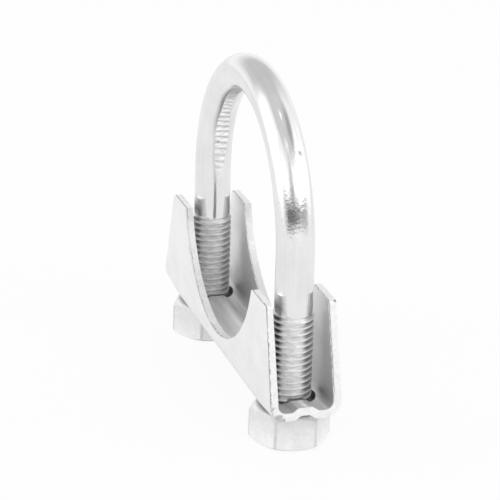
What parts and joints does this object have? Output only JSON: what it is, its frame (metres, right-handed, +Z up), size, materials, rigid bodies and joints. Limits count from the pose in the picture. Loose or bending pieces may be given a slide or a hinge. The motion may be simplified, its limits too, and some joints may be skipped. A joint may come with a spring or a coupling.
{
  "type": "exhaust clamp",
  "caption": "U-bolt exhaust pipe clamp: a bent rod with threaded ends and gripping teeth, a folded saddle with a round pipe seat, and hexagon nuts below.",
  "frame": {"origin": "on the floor under the nuts, midway between the two studs", "axes": "+X from the left stud to the right stud, +Y along the pipe, +Z up towards the bend of the U"},
  "size_m": [0.09, 0.0196, 0.0828],
  "materials": {
    "rod_steel": "bright zinc plating, drawn rod",
    "sheet_steel": "bright zinc plating on pressed sheet",
    "nut_steel": "bright zinc plating, slightly mottled"
  },
  "bodies": {
    "u_bolt": {"u_bolt": "rod_steel"},
    "saddle": {"saddle": "sheet_steel"},
    "right_nut": {"right_nut": "nut_steel"},
    "left_nut": {"left_nut": "nut_steel"}
  },
  "joints": [
    {"name": "saddle_slide", "type": "slide", "parent": "u_bolt", "child": "saddle", "axis": [0, 0, 1], "range_m": [0, 0.0201]},
    {"name": "right_nut_turn", "type": "hinge", "parent": "saddle", "child": "right_nut", "pos_m": [0.03335, 0, 0.0042], "axis": [0, 0, 1], "range_deg": [0, 4800]},
    {"name": "left_nut_turn", "type": "hinge", "parent": "saddle", "child": "left_nut", "pos_m": [-0.03335, 0, 0.0042], "axis": [0, 0, 1], "range_deg": [0, 4810]}
  ],
  "couplings": [
    {"joint": "saddle_slide", "follows": "right_nut_turn", "m_per_rad": 0.00023873},
    {"joint": "left_nut_turn", "follows": "right_nut_turn", "ratio": 1}
  ]
}
